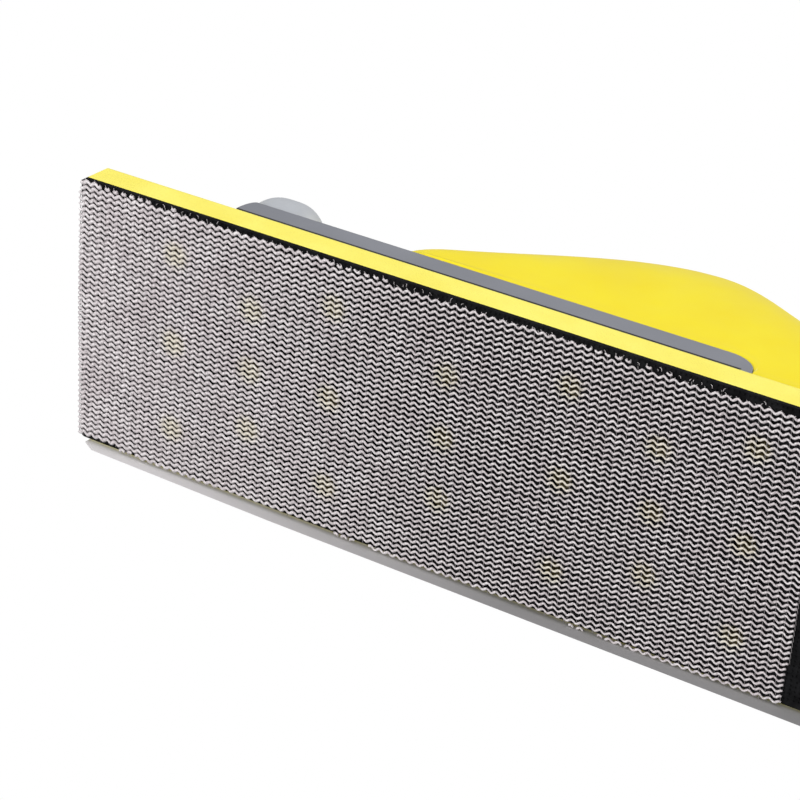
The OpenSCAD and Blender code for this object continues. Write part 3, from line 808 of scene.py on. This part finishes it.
def with_lip(loop):
    """The cross section with a small proud lip along both lower edges."""
    ends = []
    for corner in (loop[0], loop[-1]):
        out = np.array([0, math.copysign(LIP_PROUD, corner[1]), 0])
        rise = np.array([0, 0, LIP_HEIGHT])
        ends.append((corner, corner + out + rise * 0.6, corner + out + rise, corner + rise * 1.4))
    first, last = ends
    middle = loop[loop[:, 2] > loop[0, 2] + 1.5 * LIP_HEIGHT]
    return np.concatenate([first, middle, last[::-1]])


def resampled(loop, count):
    """The same cross section with an even number of points along its length."""
    gaps = np.linalg.norm(np.diff(loop, axis=0), axis=1)
    at = np.concatenate([[0], np.cumsum(gaps)])
    wanted = np.linspace(0, at[-1], count)
    return np.stack([np.interp(wanted, at, loop[:, axis]) for axis in range(3)], axis=1)


def shell_mesh(outer, inner):
    """A closed shell from two stacks of open cross sections of equal size."""
    stations = len(outer)
    count = len(outer[0])
    points = np.concatenate([np.concatenate(outer), np.concatenate(inner)])
    offset = stations * count
    faces = []
    for s in range(stations - 1):
        for i in range(count - 1):
            a = s * count + i
            faces.append((a, a + 1, a + count + 1, a + count))
            faces.append((offset + a, offset + a + count, offset + a + count + 1, offset + a + 1))
        for i, flip in ((0, False), (count - 1, True)):
            a = s * count + i
            rim = (a, a + count, offset + a + count, offset + a)
            faces.append(rim[::-1] if flip else rim)
    for s, flip in ((0, True), (stations - 1, False)):
        for i in range(count - 1):
            a = s * count + i
            rim = (a, a + 1, offset + a + 1, offset + a)
            faces.append(rim if flip else rim[::-1])
    return points, faces


def handle_stations():
    """Places along the handle, closer together where its shape changes fast."""
    slope = HANDLE_START + SLOPE_LENGTH * np.linspace(0, 1, 22) ** 1.6
    middle = np.linspace(HANDLE_START + SLOPE_LENGTH, HOUSING_END - REAR_ROUND, 44)[1:]
    step = HOUSING_END - REAR_ROUND + 0.1 + REAR_ROUND * np.sin(np.linspace(0.08, 1, 24) * math.pi / 2)
    tail = HOUSING_END + 1 + (HANDLE_END - HOUSING_END - 1) * np.sin(np.linspace(0.05, 1, 20) * math.pi / 2)
    return np.concatenate([slope, middle, step, tail])


def handle_wall(x):
    """Wall thickness, which tapers towards the thin front edge."""
    return HANDLE_WALL * clamp(0.25 + (x - HANDLE_START) / 12)


def build_handle():
    stations = handle_stations()
    outer = [resampled(with_lip(arch(x, 0, 90)), 96) for x in stations]
    inner = [resampled(arch(x, -handle_wall(x), 90), 96) for x in stations]
    handle = new_object("handle", *shell_mesh(outer, inner), "block", "yellow_plastic", YELLOW)
    keep_edges_sharp(handle, 50)
    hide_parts("handle_shell")


def inlay_reach(x):
    """Half the arch angle that the inlay covers at x, in degrees."""
    t = abs(x - INLAY_MID) / INLAY_HALF_LENGTH
    return INLAY_REACH * max(0.001, 1 - t ** PLAN_POWER) ** (1 / PLAN_POWER)


def inlay_crown(x, share):
    """Thickness of the inlay, which falls away towards its rim."""
    end = 1 - (abs(x - INLAY_MID) / INLAY_HALF_LENGTH) ** 8
    side = 1 - abs(share) ** 10
    return INLAY_THICKNESS * (0.35 + 0.65 * min(end, side))


def build_inlay():
    stations = INLAY_MID - INLAY_HALF_LENGTH * np.cos(np.linspace(0, math.pi, 49))
    outer, inner = [], []
    for x in stations:
        low = arch(x, 0.2, inlay_reach(x))
        high = arch(x, INLAY_THICKNESS, inlay_reach(x))
        share = np.linspace(-1, 1, len(low))
        crown = np.array([inlay_crown(x, s) for s in share]) / INLAY_THICKNESS
        outer.append(low + (high - low) * crown[:, None])
        inner.append(low)
    inlay = new_object("palm_pad", *shell_mesh(outer, inner), "block", "soft_grip", GRIP)
    keep_edges_sharp(inlay, 50)
    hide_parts("palm_inlay")


def nose_point(angle, rise, thin):
    """A point of the dome: angle runs round it, rise climbs it, thin moves it inwards."""
    spread_out = math.cos(rise) ** (2 / NOSE_POWER)
    up = math.sin(rise) ** (2 / NOSE_POWER)
    reach = (NOSE_HALF_LENGTH - thin) * signed_power(math.cos(angle), 2 / 3) * spread_out
    if reach < 0:
        rounding = math.sin(math.pi / 2 * clamp((NOSE_HEIGHT - thin) * up / NOSE_UNDERCUT))
        reach *= NOSE_FOOT_SHARE + (1 - NOSE_FOOT_SHARE) * rounding
    side = (NOSE_HALF_WIDTH - thin) * signed_power(math.sin(angle), 2 / 3)
    side *= (1 - NOSE_SHOULDER) * spread_out + NOSE_SHOULDER * math.sqrt(spread_out)
    return (NOSE_MID + reach - NOSE_LEAN * up * up, side, DECK + (NOSE_HEIGHT - thin) * up)


def build_nose():
    """A dome shell over the housing's front, closed along its foot."""
    angles = np.linspace(0, 2 * math.pi, 145)[:-1]
    rises = (math.pi / 2) * np.linspace(0, 1, 31)[:-1] ** 1.35
    count = len(angles)
    points, faces = [], []
    for thin in (0.0, NOSE_WALL):
        points += [nose_point(a, rise, thin) for rise in rises for a in angles]
        points.append(nose_point(0, math.pi / 2, thin))
    layer = len(rises) * count + 1
    for side, flip in ((0, False), (layer, True)):
        for k in range(len(rises) - 1):
            for j in range(count):
                a, b = side + k * count + j, side + k * count + (j + 1) % count
                face = (a, b, b + count, a + count)
                faces.append(face[::-1] if flip else face)
        top = side + layer - 1
        ring = side + (len(rises) - 1) * count
        for j in range(count):
            face = (ring + j, ring + (j + 1) % count, top)
            faces.append(face[::-1] if flip else face)
    for j in range(count):
        k = (j + 1) % count
        faces.append((k, j, layer + j, layer + k))
    nose = new_object("nose_rest", points, faces, "block", "light_grey_plastic", NOSE_GREY)
    keep_edges_sharp(nose, 50)
    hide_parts("nose_cap")


build_handle()
build_inlay()
build_nose()


# ---------------------------------------------------------------- CAD nodes that stay

FINISHES = {
    "hook_face": HOOKS,
    "pad_slab": FOAM,
    "base_plate": BLACK,
    "base_plate_screws": STEEL,
    "chamber_seal": SEAL,
    "lower_housing": GREY,
    "nose_screws": STEEL,
    "handle_screws": STEEL,
    "dust_duct": BLACK,
    "duct_seal": SEAL,
    "duct_screws": STEEL,
    "tail_cap": GREY,
    "bypass_washer": SEAL,
    "bypass_ring": GREY,
    "hose_spigot": BLACK,
    "spigot_o_ring": SEAL,
    "spigot_clip": STEEL,
    "thrust_washer": ACETAL,
}
for node, finish in FINISHES.items():
    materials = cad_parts[node].data.materials
    materials.clear()
    materials.append(finish)
